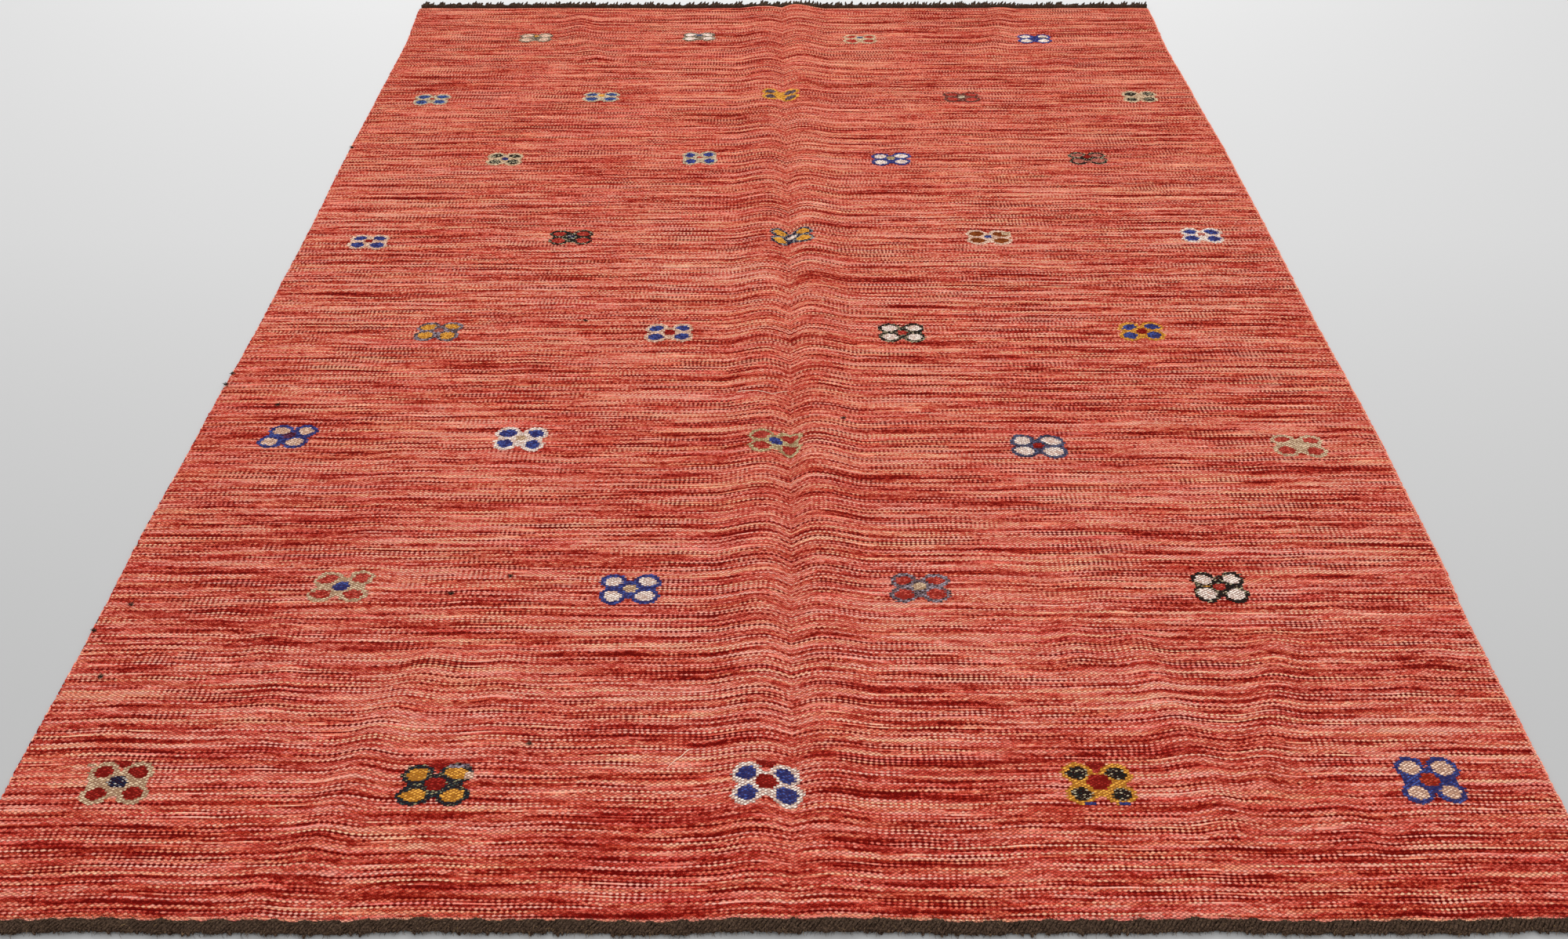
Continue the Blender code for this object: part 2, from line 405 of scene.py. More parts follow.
# the weave's lattice: warps and wefts a bead apart
weave = {
    "warpPitch": 0.00372, "shotPitch": 0.0024,
    "beadWide": 0.62, "beadTall": 0.55, "beadSquare": 2.4, "slant": 0.07,
    "grooveWide": 5, "grooveDeep": 0.35,
    # bumps per unit across, bumps per unit along, start, detail, roughness
    "noises": {
        # across and along in metres
        "jitter": (60, 420), "wander": (42, 50), "waver": (14, 60), "plump": (22, 230),
        "bands": (2, 75, 0, 3, 0.6), "fibre": (900, 1700, 0, 2, 0.7),
        # across in metres, along in shots
        "straight": (11, 4.3, 20), "gap": (10, 5.7, 80), "own": (7.5, 7.31, 0, 3.5, 0.72),
        "pair": (3, 0.45, 0, 2), "unlike": (3.2, 0.17, 90), "shadeLines": (6, 9.13, 40, 2),
        "warm": (3.5, 0.42, 30, 3, 0.65), "rich": (3.5, 0.9, 60),
        # across in warps, along in shots
        "bead": (3.7, 5.1, 0, 0),
    },
    # how far a noise moves what it is added to
    "weights": {
        "jitter": 0.7, "wander": 1.3, "waver": 0.9, "plump": 0.5, "own": 2.3, "pair": 1.9,
        "unlike": 1.7, "bands": 1.1, "bead": 0.8, "fibre": 2.1, "shadeLines": -0.45, "fibreRelief": 0.35,
    },
    # the level past which a noise makes a patch, and how sharply
    "patches": {"straight": (0.65, 14), "gap": (0.57, 12), "shadeLines": (0.62, 8), "rich": (0.57, 8)},
    "middleTone": 0.585, "nearShade": -0.14, "farDarker": -0.07, "edgeTone": 0.84,
    "lively": (0.4, 0.92), "edgeShots": 0.0035, "edgeTurns": 0.0022,
    "tones": [
        (0, "#5c0605"), (0.16, "#880e08"), (0.32, "#b52a1c"), (0.5, "#da543e"),
        (0.66, "#ea7c66"), (0.84, "#f2977e"), (1, "#f6b298"),
    ],
    # what the yarn is multiplied by where it isn't, and where it is
    "tints": {
        "pale": ((1, 1, 1), (1.02, 1.22, 1.28)), "warm": ((1.02, 0.98, 1.06), (1.02, 1.13, 0.97)),
        "rich": ((1, 1, 1), (0.97, 0.66, 0.7)), "redder": ((1, 1, 1.02), (1, 0.87, 0.82)),
    },
    # painted shade between the beads: the recess colour, how far the yarn goes towards it, and how the
    # relief sets where it shows
    "recessShade": "#580a05", "recessShadePart": 0.72, "lit": (2.1, 0.14), "bump": (0.0009, 0.7),
}


def clothLift(x, y):
    # height of the underside: the middle fold and the highest ridge, as in the solid
    middle, left, right, valley = (readRows(cloth["foldRows"], y, column) for column in (1, 2, 3, 4))
    out, crestOut = np.abs(x - middle), cloth["crestOut"]
    crest = np.where(x < middle, left, right)
    inner = valley + (crest - valley) * np.sin(0.5 * np.pi * np.minimum(out / crestOut, 1))
    outer = crest * (1 - easeStep((out - crestOut) / (cloth["footOut"] - crestOut)))
    fold = np.where(out < crestOut, inner, outer)
    highest = np.zeros_like(fold)
    for fromX, fromY, toX, toY, reach, height in cloth["ridges"]:
        runX, runY = toX - fromX, toY - fromY
        part = np.clip(((x - fromX) * runX + (y - fromY) * runY) / (runX**2 + runY**2), 0, 1)
        away = np.hypot(x - fromX - part * runX, y - fromY - part * runY)
        highest = np.maximum(highest, height * np.exp(-((away / reach) ** 2)))
    return np.maximum(0, fold + highest - cloth["leastLift"])


def cockles(x, y):
    # small undulations, only upwards; livelier beside the folds
    lively = 0.55 + 0.45 * np.clip(clothLift(x, y) / 0.006, 0, 1)
    broad = softNoise(x, y, 0.062, 0.085, 11)
    small = softNoise(x, y, 0.031, 0.046, 12)
    return cloth["cockle"] * lively * (1 + 0.65 * broad + 0.35 * small)


def edgeAt(side, along):
    # x of the left edge, side -1, or of the right one, side 1
    return side * (cloth["width"] / 2 + readRows(cloth["edgeRows"], along, 1 if side < 0 else 2))


def clothPoint(across, along):
    # upper side of the cloth at across (-1 to 1 from the crease) and along (metres)
    middle = readRows(cloth["foldRows"], along, 1)
    edge = np.where(across < 0, edgeAt(-1, along), edgeAt(1, along))
    x = middle + (edge - middle) * np.abs(across)
    part = along / (cloth["length"] / 2)
    shift = np.where(part > 0, sumWaves(cloth["farWaves"], x), sumWaves(cloth["nearWaves"], x))
    y = along + shift * np.abs(part) ** 4
    z = clothLift(x, y) + cockles(x, y) + cloth["thickness"]
    return x + frameShift[0], y + frameShift[1], z


def weftShift(u, along):
    # how far the wefts are out of straight, towards the near end
    calm = easeStep((cloth["length"] / 2 - np.abs(along)) / 0.05)
    sag = readRows(cloth["bowRows"], along, 1)
    bow = sag * (np.exp(-((u / 0.030) ** 2)) - 0.3 * np.exp(-((u / 0.11) ** 2)))
    wander = softNoise(u, along, 0.085, 0.16, 21) + 0.45 * softNoise(u, along, 0.035, 0.07, 22)
    return calm * (bow + cloth["waver"] * wander)


def frameOffset():
    # the solid was centred on its box after it was drawn
    low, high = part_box("kilim_cloth")
    y = np.linspace(-cloth["length"] / 2, cloth["length"] / 2, 601)
    left, right = edgeAt(-1, y).min(), edgeAt(1, y).max()
    x = np.linspace(-1, 1, 401)
    near = -cloth["length"] / 2 + sumWaves(cloth["nearWaves"], x).min()
    far = cloth["length"] / 2 + sumWaves(cloth["farWaves"], x).max()
    return (low.x + high.x - left - right) / 2, (low.y + high.y - near - far) / 2


def columnPlaces():
    # the sheet's columns, from -1 at the left edge to 1 at the right one
    half, last = [0.0], 0.0
    for end, steps in cloth["columnBands"]:
        half += [last + (end - last) * (i + 1) / steps for i in range(steps)]
        last = end
    return np.array([-place for place in reversed(half[1:])] + half)


def beadNodes(columns, rows, fat, offset, sizes):
    # how far a point is from its bead, and the bead's shot and warp
    column, row = (columns + offset) * 0.5, (rows + offset) * 0.5
    x = column.calc("FRACT").line(2, -1)
    y = x.line(-sizes["slant"], row.calc("FRACT").line(2, -1))
    away = abs(x / sizes["beadWide"]) ** sizes["beadSquare"] + abs(y / fat) ** 2
    return away, row.calc("FLOOR").line(2, 1 - offset), column.calc("FLOOR").line(2, 1 - offset)


def noiseOf(sizes, name, across, along):
    return drawnOut(across, along, *sizes["noises"][name])


def sway(sizes, name, total, across, along):
    # the total, moved up and down by one of the weave's noises
    return (noiseOf(sizes, name, across, along) - 0.5).line(sizes["weights"][name], total)


def patches(sizes, name, across, along):
    # 1 in stretches of some shots, 0 elsewhere
    level, slope = sizes["patches"][name]
    return (noiseOf(sizes, name, across, along) - level).calc("MULTIPLY", slope, clamp=True)


def weaveRelief(u, v, sizes):
    # how high each point stands, and the shot and the warp that it belongs to
    columns = sway(sizes, "jitter", u / sizes["warpPitch"], u, v)
    columns = sway(sizes, "wander", columns, u, v)
    rows = sway(sizes, "waver", v / sizes["shotPitch"], u, v)
    # each shot shows a bead at every other warp; the next shot shows them at the warps between
    fat = sway(sizes, "plump", sizes["beadTall"], u, v)
    awayA, shotA, warpA = beadNodes(columns, rows, fat, 0, sizes)
    awayB, shotB, warpB = beadNodes(columns, rows, fat, 1, sizes)
    isB = awayB.calc("LESS_THAN", awayA)
    shot, warp = isB.line(shotB - shotA, shotA), isB.line(warpB - warpA, warpA)
    height = awayA.calc("MINIMUM", awayB).line(-1, 1, clamp=True)
    # a groove on either side of each warp, lower in the relief and so darkened with painted shade
    groove = abs(columns.calc("FRACT") - 0.5).line(-sizes["grooveWide"], 1, clamp=True)
    height = height * groove.line(-sizes["grooveDeep"], 1)
    # in loosely packed stretches a shot lies straight, or a gap opens beside it, made dark with painted
    # shade
    nearest, between = rows.calc("ROUND"), rows.calc("FLOOR")
    straight = patches(sizes, "straight", u, nearest)
    height = height.calc("MAXIMUM", straight * abs(rows - nearest).line(-2.2, 1.1))
    shot = (shot + straight * (nearest - shot)).calc("ROUND")
    gap = abs(rows - between - 0.5).line(-3.2, 1.15, clamp=True)
    gap = gap.calc("MULTIPLY", patches(sizes, "gap", u, between), clamp=True)
    return height * gap.line(-1, 1), shot, warp


def weaveTone(u, v, shot, warp, fibre, sizes):
    # the yarn's dye changes slowly along each shot, and from shot to shot, and painted shade darkens the
    # near end and some shots: 0 dark, 1 pale
    # painted shade: the tone darkens towards the near end
    nearEnd = v.line(-3, -3.45, clamp=True)
    tone = nearEnd.line(sizes["nearShade"], sizes["middleTone"])
    tone = sway(sizes, "pair", sway(sizes, "own", tone, u, shot), u, shot)
    # where two unlike yarns take turns, their beads stand in columns
    turn = (shot * 0.5).calc("FRACT").line(4, -1)
    tone = turn.line(sway(sizes, "unlike", 0, u, shot), tone)
    tone = sway(sizes, "bead", sway(sizes, "bands", tone, u, v), warp, shot)
    tone = (fibre - 0.5).line(sizes["weights"]["fibre"], tone)
    # painted shade: stretches of darker shots stand for the shade between the wefts
    tone = patches(sizes, "shadeLines", u, shot).line(sizes["weights"]["shadeLines"], tone)
    # livelier away from the near end, and a little darker at the far end
    lively = v.line(0.35, 0.45, clamp=True).line(*sizes["lively"])
    tone = (tone - 0.5).line(lively, 0.5)
    tone = v.line(0.9, -0.36, clamp=True).line(sizes["farDarker"], tone, clamp=True)
    # the last shots at both ends, and the turns at the right edge, are a lighter yarn
    atEnd = abs(v).calc("GREATER_THAN", cloth["length"] / 2 - sizes["edgeShots"])
    atSide = u.calc("GREATER_THAN", cloth["width"] / 2 - sizes["edgeTurns"])
    return tone.calc("MAXIMUM", atEnd.calc("MAXIMUM", atSide) * sizes["edgeTone"])


def weaveYarn(u, v, shot, tone, sizes):
    # the palest yarn lies across the rug's middle
    pale = abs(v - 0.05).line(-1.8, 1, clamp=True) * tone.line(3, -1.86, clamp=True)
    # some runs are yellower than others, some richer, and all are redder away from the near end
    warm = (noiseOf(sizes, "warm", u, shot) - 0.5).line(6, 0.35, clamp=True)
    rich = patches(sizes, "rich", u, shot)
    redder = v.line(1.3, 1.235, clamp=True)
    yarn = rampOf(tone, sizes["tones"])
    for name, part in (("pale", pale), ("warm", warm), ("rich", rich), ("redder", redder)):
        yarn = mixColour(u.tree, 1.0, yarn, mixColour(u.tree, part, *sizes["tints"][name]), "MULTIPLY")
    return yarn


def makeWeaveMaterial(sizes):
    material, tree, shader = newMaterial("kilimWeave")
    uv = tree.nodes.new("ShaderNodeUVMap")
    uv.uv_map = "weave"
    u, v = partsOf(tree, uv.outputs[0])[:2]
    height, shot, warp = weaveRelief(u, v, sizes)
    fibre = noiseOf(sizes, "fibre", u, v)
    tone = weaveTone(u, v, shot, warp, fibre, sizes)
    yarn = weaveYarn(u, v, shot, tone, sizes)
    # painted shade between the beads: where the relief is low the yarn goes towards the recess colour
    shadeColour = mixColour(tree, sizes["recessShadePart"], yarn, hexColour(sizes["recessShade"]))
    lit = height.line(*sizes["lit"], clamp=True)
    relief = fibre.line(sizes["weights"]["fibreRelief"], height)
    finishWool(shader, mixColour(tree, lit, shadeColour, yarn), relief, *sizes["bump"])
    return material


def makeCloth(sizes):
    columns = columnPlaces()
    rows = np.linspace(-sizes["length"] / 2, sizes["length"] / 2, sizes["rows"] + 1)
    sheet = addPrimitive("grid", x_subdivisions=len(columns) - 1, y_subdivisions=sizes["rows"], size=2)
    sheet.name = "kilimCloth"
    mesh = sheet.data
    points = meshPoints(mesh)
    i = np.rint((points[:, 0] + 1) / 2 * (len(columns) - 1)).astype(int)
    j = np.rint((points[:, 1] + 1) / 2 * sizes["rows"]).astype(int)
    across, along = columns[i], rows[j]
    x, y, z = clothPoint(across, along)
    # the wefts turn round the outer warps, a little unevenly
    outer = np.abs(across) > 0.999
    uneven = softNoise(along, np.sign(across) * 3, 0.011, 1, 31)
    uneven = uneven + 0.7 * softNoise(along, across, 0.033, 1, 32)
    x = np.where(outer, x + np.sign(across) * sizes["serration"] * (uneven - 0.5), x)
    z = np.where(outer, z - 0.0006, z)
    setPoints(mesh, np.column_stack([x, y, z]))
    for old in list(mesh.uv_layers):
        mesh.uv_layers.remove(old)
    layer = mesh.uv_layers.new(name="weave")
    corners = np.empty(len(mesh.loops), int)
    mesh.loops.foreach_get("vertex_index", corners)
    u = across * sizes["width"] / 2
    places = np.column_stack([u, along + weftShift(u, along)])
    layer.data.foreach_set("uv", places[corners].astype(np.float32).ravel())
    thicken(sheet, sizes["thickness"] * 0.95)
    keepAbove(mesh, 0)
    smooth(sheet, 55)
    dress(sheet, makeWeaveMaterial(weave))
    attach(sheet, "root")
    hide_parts("kilim_cloth")
    print("cloth woven:", len(mesh.polygons), "faces")
    return sheet


# the four-petal flower, in metres from its middle
flower = {
    "middle": 0.00275,
    "heartUp": 4.5,                   # in mm, like the rows
    "heartWander": 0.0018,
    "upperTilt": 12, "lowerTilt": 4,
    "petalRound": 1.8,                # 2 is an ellipse, 1 a diamond
    "rim": (0.0066, 0.007),          # the outline's width across and along
    "waist": (0.013, -0.02, 0.021),
    "bar": (0.036, -0.004, 0.0105),
    "cap": (0.0145, 0.03, 0.0405),
    "stitchSize": (0.0028, 0.0016, 0.0009),
    "plateHigh": 0.0003, "plateDeep": 0.0016,
    "patch": (0.062, 0.048, 0.05),   # what it may cover: to either side, below and above
}

# main and second tone of each yarn, and how much of it has the second
yarns = {
    "beige": ("#e2c8a6", "#ab8c6a", 0.35), "cream": ("#f4d4bc", "#c89c80", 0.35),
    "white": ("#fff2e6", "#dcb8a6", 0.28), "gold": ("#f0b04a", "#b07420", 0.38),
    "navy": ("#1a2640", "#b4b0ac", 0.42), "night": ("#1c3038", "#98906c", 0.36),
    "royal": ("#4458a0", "#18225a", 0.48), "crimson": ("#a82e26", "#700c0a", 0.45),
    "red": ("#d25a4c", "#8e120e", 0.5), "orange": ("#bc4a34", "#8a180e", 0.45),
    "olive": ("#d2c094", "#9c8258", 0.35), "slate": ("#a49ca8", "#100c12", 0.55),
    "forest": ("#1e2624", "#b4a88a", 0.36), "rust": ("#9a5426", "#66280c", 0.5),
    "umber": ("#8e5e52", "#3e2420", 0.45), "sage": ("#dcccb0", "#98886c", 0.35),
    "ash": ("#a69a86", "#433c32", 0.45), "rose": ("#d08474", "#8e3e34", 0.45),
    "dusk": ("#5c6684", "#1a2236", 0.45), "maroon": ("#6a3c5c", "#3c141e", 0.45),
    "steel": ("#4766a4", "#16264c", 0.42), "smoke": ("#786870", "#2c2224", 0.45),
}

# x, y in metres; outline, petals, heart, cap; lean; then in mm how far out the petals stand,
# half their width, how far above and below the middle they are, half the height of the upper
# and of the lower ones, half the width of the heart and, if unusual, its height above the middle
flowerRows = [
    (-0.868, -1.285, "beige", "crimson", "navy", "crimson", -0.1, 22.5, 13, 18.3, 10, 10.5, 12),
    (-0.455, -1.289, "night", "gold", "crimson", "crimson", 0, 25, 15.5, 18.7, 10.8, 10.5, 13),
    (-0.026, -1.284, "white", "royal", "crimson", "crimson", -0.03, 25, 14, 17.2, 12.3, 13.2, 14),
    (0.406, -1.287, "gold", "forest", "crimson", "crimson", 0, 25.5, 14, 18, 11.8, 11, 15),
    (0.837, -1.281, "royal", "cream", "orange", "orange", 0.02, 21.5, 14, 20.8, 12.6, 11.6, 12.5),
    (-0.667, -0.898, "beige", "red", "royal", "", 0.13, 23, 14, 17.5, 10, 10.5, 11.5),
    (-0.233, -0.904, "royal", "white", "beige", "", 0, 24.5, 14, 16.7, 9.6, 12, 9.5),
    (0.2, -0.9, "slate", "red", "beige", "", 0.02, 24, 14, 15.5, 9.2, 11.8, 10),
    (0.649, -0.9, "forest", "white", "red", "", 0, 21, 13, 16.3, 11, 12.5, 9),
    (-0.846, -0.513, "royal", "cream", "maroon", "", 0.4, 20.5, 14, 15.8, 10.5, 11.2, 10),
    (-0.449, -0.519, "white", "royal", "beige", "", 0.05, 23.5, 14, 15.8, 11.2, 12.2, 9),
    (-0.017, -0.526, "olive", "red", "royal", "", 0, 24, 14, 15.8, 10, 11.5, 11),
    (0.425, -0.54, "dusk", "white", "crimson", "", 0, 24, 16, 15, 11.2, 12, 9),
    (0.864, -0.538, "beige", "red", "beige", "", 0, 24, 14, 15, 8.2, 11.5, 9),
    (-0.65, -0.173, "slate", "gold", "rose", "", 0.05, 21, 14, 15.3, 9.5, 12.3, 8.5),
    (-0.217, -0.178, "cream", "royal", "crimson", "", 0, 24.5, 14, 15.3, 9.3, 11, 11),
    (0.218, -0.179, "forest", "white", "red", "", 0, 22.2, 14, 15.3, 10.5, 11.8, 9),
    (0.667, -0.174, "gold", "royal", "crimson", "", 0, 22, 14, 14.5, 9, 11.5, 10.5),
    (-0.856, 0.175, "cream", "royal", "crimson", "", 0, 20, 14, 14, 8.5, 11, 8),
    (-0.442, 0.194, "forest", "red", "navy", "", 0, 24, 14, 14.3, 9, 10.5, 8),
    (0.013, 0.19, "navy", "gold", "white", "", 0, 24, 14, 15.5, 11, 11.5, 9),
    (0.419, 0.194, "cream", "rust", "royal", "", 0, 24.5, 15.5, 13.5, 9.7, 10.5, 8),
    (0.861, 0.203, "white", "royal", "rose", "", 0, 22.5, 14, 14.2, 9.8, 11.2, 8),
    (-0.632, 0.562, "beige", "forest", "royal", "", 0, 20.5, 14, 15, 9, 11.5, 7.5),
    (-0.193, 0.568, "sage", "royal", "red", "", -0.04, 21, 11.5, 16.5, 11, 12, 6),
    (0.238, 0.561, "royal", "white", "olive", "", 0, 23, 14, 14.5, 10, 11, 9.5, 8),
    (0.682, 0.567, "forest", "rose", "crimson", "", 0, 22.5, 14, 14, 9, 11, 9, 9),
    (-0.856, 0.893, "sage", "steel", "orange", "", 0.05, 21.5, 14, 15, 10, 11.5, 6),
    (-0.447, 0.907, "sage", "steel", "gold", "", 0, 22.5, 14, 13.5, 8.5, 10.5, 8, 12),
    (-0.012, 0.915, "gold", "smoke", "", "", 0, 24, 14, 15, 10.5, 11.5, 0),
    (0.428, 0.905, "umber", "red", "sage", "", 0, 23, 14, 13.5, 8.5, 10.5, 7.5),
    (0.862, 0.909, "beige", "forest", "beige", "", 0.08, 21, 14, 15.8, 10.5, 11, 6),
    (-0.655, 1.29, "ash", "cream", "gold", "", 0, 23, 14, 13.5, 9.5, 10.5, 6.5, 14),
    (-0.227, 1.298, "ash", "white", "dusk", "", 0, 22.5, 14, 12.5, 8.7, 9.5, 8, 11),
    (0.197, 1.282, "beige", "red", "dusk", "", 0, 22.5, 14, 14, 9, 11, 8, 15),
    (0.655, 1.284, "royal", "white", "royal", "", 0.02, 23, 14, 14, 10.2, 11, 7),
]

# odd bits of other yarn: flower's number, x and y from its middle, half sizes
oddStitches = [
    (1, -0.043, 0.032, 0.006, 0.003, "beige"), (2, 0.039, 0.018, 0.0055, 0.006, "cream"),
    (2, 0.026, 0.035, 0.013, 0.0035, "slate"), (4, -0.018, -0.031, 0.0075, 0.003, "royal"),
    (4, 0.029, -0.031, 0.0075, 0.003, "royal"), (6, 0.018, 0.032, 0.004, 0.004, "beige"),
    (9, -0.019, 0.0035, 0.0042, 0.0014, "gold"), (22, 0.038, 0.021, 0.008, 0.007, "beige"),
    (27, -0.002, -0.015, 0.008, 0.004, "rose"), (36, 0.022, 0.01, 0.011, 0.004, "ash"),
]


def makeYarn(name):
    # a wool of two tones; each stitch keeps its own tone in the attribute
    main, second, share = yarns[name]
    material, tree, shader = newMaterial(name + "Yarn")
    tone = toneOf(tree)
    fleck = fleckNoise(tree, 420)
    blend = ((fleck - 0.5).line(0.8, tone) - share).line(6, 0.5, clamp=True)
    colour = mixColour(tree, blend, hexColour(second), hexColour(main))
    # painted shade: a negative tone is the shaded ground between the stitches, the main tone darkened and
    # reddened
    shade = tone.calc("ADD", 1, clamp=True)
    shadeColour = mixColour(tree, 1.0, hexColour(main), [0.36, 0.28, 0.26], "MULTIPLY")
    shadeColour = mixColour(tree, 0.10, shadeColour, hexColour("#6a1a10"))
    finishWool(shader, mixColour(tree, shade, shadeColour, colour), fleck, 0.0004, 0.6)
    return material


def petalAway(dx, dy, centre, size, tilt):
    # below 1 inside a petal
    turn = math.radians(tilt)
    x, y = dx - centre[0], dy - centre[1]
    long, tall = x * math.cos(turn) + y * math.sin(turn), y * math.cos(turn) - x * math.sin(turn)
    power = flower["petalRound"]
    return (np.abs(long) / size[0]) ** power + (np.abs(tall) / size[1]) ** power


def inBlock(dx, dy, block):
    return (np.abs(dx) < block[0]) & (dy > block[1]) & (dy < block[2])


def flowerParts(dx, dy, row, rng):
    # 0 bare, 1 outline, 2 petals, 3 heart, 4 cap, at each place from the flower's middle
    cap, lean = row[5], row[6]
    measures = [mm / 1000 for mm in (*row[7:], flower["heartUp"])[:7]]
    out, wide, apart, upper, lower, heartWide, heartUp = measures
    leaned = dx - lean * dy
    part = np.zeros(dx.shape, int)
    dx = dx + rng.normal(0, 0.0010, dx.shape[1])[None, :]
    part[inBlock(leaned, dy, flower["waist"]) | inBlock(leaned, dy, flower["bar"])] = 1
    petals = []
    for side, level, tall in ((-1, 1, upper), (1, 1, upper), (-1, -1, lower), (1, -1, lower)):
        y = flower["middle"] + level * apart * rng.uniform(0.94, 1.06)
        x = side * out * rng.uniform(0.95, 1.05) + lean * y
        size = [wide * rng.uniform(0.93, 1.08), tall * rng.uniform(0.95, 1.06)]
        tilt = -side * (flower["upperTilt"] if y > 0 else -flower["lowerTilt"]) * rng.uniform(0.3, 1.5)
        rimSize = [value + rim for value, rim in zip(size, flower["rim"])]
        part[petalAway(dx, dy, (x, y), rimSize, tilt) < 1] = 1
        petals.append(petalAway(dx, dy, (x, y), size, tilt) < 1)
    if cap:
        part[inBlock(leaned * (1.25 - 7 * (dy - flower["cap"][1])), dy, flower["cap"]) & (part == 0)] = 4
    for inside in petals:
        part[inside] = 2
    heartY = np.abs(dy - heartUp - flower["heartWander"] * rng.uniform(-1, 1))
    narrowing = 1.12 - 0.5 * heartY / max(0.85 * heartWide, 0.001)
    inHeart = (heartY < 0.85 * heartWide) & (np.abs(leaned) < heartWide * narrowing)
    part[inHeart & (part != 2)] = 3
    return part


def clothFromWeave(u, v):
    # the x and y on the cloth of a place in the weave
    along = v
    for _ in range(3):
        along = v - weftShift(u, along)
    return clothPoint(u / (cloth["width"] / 2), along)[:2]


def seenOnCloth(surface, x, y):
    # the tables give places as the camera sees them against the floor
    shift = Vector((*frameShift, 0))
    eye = Vector(studio["cameraAt"]) + shift
    hit = surface.ray_cast(eye, Vector((x, y, 0)) + shift - eye)[0] - shift
    return hit.x, hit.y


def weaveFromCloth(x, y):
    middle = float(readRows(cloth["foldRows"], y, 1))
    side = -1 if x < middle else 1
    u = side * (x - middle) / (float(edgeAt(side, y)) - middle) * cloth["width"] / 2
    return u, y + float(weftShift(np.array(u), np.array(y)))


def clothHeights(tree, x, y):
    # the upper side's height under each point
    down = (0, 0, -1)
    return np.array([tree.ray_cast((px, py, 0.2), down)[0].z for px, py in zip(x, y)])


def makeStitch(size):
    # one stitch: a low lozenge with a narrowed crown
    stitch = addPrimitive("cylinder", vertices=4, radius=1, depth=1, location=(0, 0, 0.5))
    stitch.name = "stitch"
    bpy.ops.object.transform_apply()
    setMode("EDIT")
    bpy.ops.mesh.select_all(action="DESELECT")
    setMode("OBJECT")
    for face in stitch.data.polygons:
        face.select = face.normal.z > 0.9
    setMode("EDIT")
    bpy.ops.mesh.select_mode(type="FACE")
    bpy.ops.transform.resize(value=(0.5, 0.45, 1))
    setMode("OBJECT")
    stitch.scale = size
    bpy.ops.object.transform_apply()
    return stitch


def makeFlowerPlate(name, columns, shots, part, surface):
    # the flat ground of a flower, a face for each warp and shot
    corners, faces, index = {}, [], []
    for i, j in np.argwhere(part > 0):
        square = [(i + di, j + dj) for di, dj in ((0, 0), (1, 0), (1, 1), (0, 1))]
        faces.append([corners.setdefault(key, len(corners)) for key in square])
        index.append(part[i, j] - 1)
    keys = np.array(list(corners))
    u = (columns[0] + keys[:, 0] - 0.5) * weave["warpPitch"]
    v = (shots[0] + keys[:, 1] - 0.5) * weave["shotPitch"]
    x, y = clothFromWeave(u, v)
    z = clothHeights(surface, x, y) + flower["plateHigh"]
    # a tone of -1 gives the plate the yarns' painted shade
    plate = meshFrom(name, np.column_stack([x, y, z]), faces, index, np.full(len(keys), -1.0))
    thicken(plate, flower["plateDeep"])
    return plate


def makeFlowerStitches(name, columns, shots, part, stitch, surface, rng):
    # a stitch at every other warp of a shot, and at the warps between on the next
    shape = meshPoints(stitch.data)
    ii, jj = np.nonzero((part > 0) & ((columns[:, None] + shots) % 2 == 0))
    u = columns[ii] * weave["warpPitch"] + rng.normal(0, 0.0003, len(ii))
    v = shots[jj] * weave["shotPitch"] + rng.normal(0, 0.00018, len(ii))
    grow = rng.uniform(0.72, 1.22, len(ii))
    slant = np.where(part[ii, jj] == 1, 0.14, 0.04) + rng.normal(0, 0.16, len(ii))
    pointU = u[:, None] + shape[None, :, 0] * grow[:, None]
    pointV = v[:, None] + shape[None, :, 1] * grow[:, None] + slant[:, None] * shape[None, :, 0]
    x, y = clothFromWeave(pointU.ravel(), pointV.ravel())
    z = clothHeights(surface, x, y) + (shape[None, :, 2] * grow[:, None]).ravel()
    index = np.repeat(part[ii, jj] - 1, len(stitch.data.polygons))
    # the dye changes along each shot, and a little from stitch to stitch
    dye = 0.5 + 0.9 * softNoise(u, shots[jj] + 0.5, 0.009, 0.8, int(rng.integers(1, 900)))
    tones = np.clip(0.55 * dye + 0.45 * rng.uniform(0, 1, len(ii)), 0, 1)
    faces = copiedFaces(stitch, len(ii))
    return meshFrom(name, np.column_stack([x, y, z]), faces, index, np.repeat(tones, len(shape)))


def makeFlower(number, row, stitch, surface, woolOf):
    rng = np.random.default_rng(700 + number)
    x0, y0, outline, petals, heart, cap = row[:6]
    u0, v0 = weaveFromCloth(*seenOnCloth(surface, x0, y0))
    warp, shotStep = weave["warpPitch"], weave["shotPitch"]
    aside, below, above = flower["patch"]
    columns = np.arange(round((u0 - aside) / warp), round((u0 + aside) / warp))
    shots = np.arange(round((v0 - below) / shotStep), round((v0 + above) / shotStep))
    du, dv = np.meshgrid(columns * warp - u0, shots * shotStep - v0, indexing="ij")
    part = flowerParts(du, dv, row, rng)
    wools = [outline, petals, heart or outline, cap or outline]
    for at, x, y, halfX, halfY, wool in oddStitches:
        if at == number:
            part[(np.abs(du - x) < halfX) & (np.abs(dv - y) < halfY)] = len(wools) + 1
            wools.append(wool)
    name = "flower%02d" % number
    plate = makeFlowerPlate(name, columns, shots, part, surface)
    stitches = makeFlowerStitches(name + "Stitches", columns, shots, part, stitch, surface, rng)
    for piece in (stitches, plate):
        dress(piece, *(woolOf[wool] for wool in wools))
    joinInto(plate, stitches)
    smooth(plate, 70)
    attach(plate, "root")
    return plate


def makeFlowers(surface):
    stitch = makeStitch(flower["stitchSize"])
    woolOf = {name: makeYarn(name) for name in yarns}
    made = [makeFlower(number, row, stitch, surface, woolOf) for number, row in enumerate(flowerRows, 1)]
    bpy.data.objects.remove(stitch)
    print("flowers woven:", len(made))
    return made


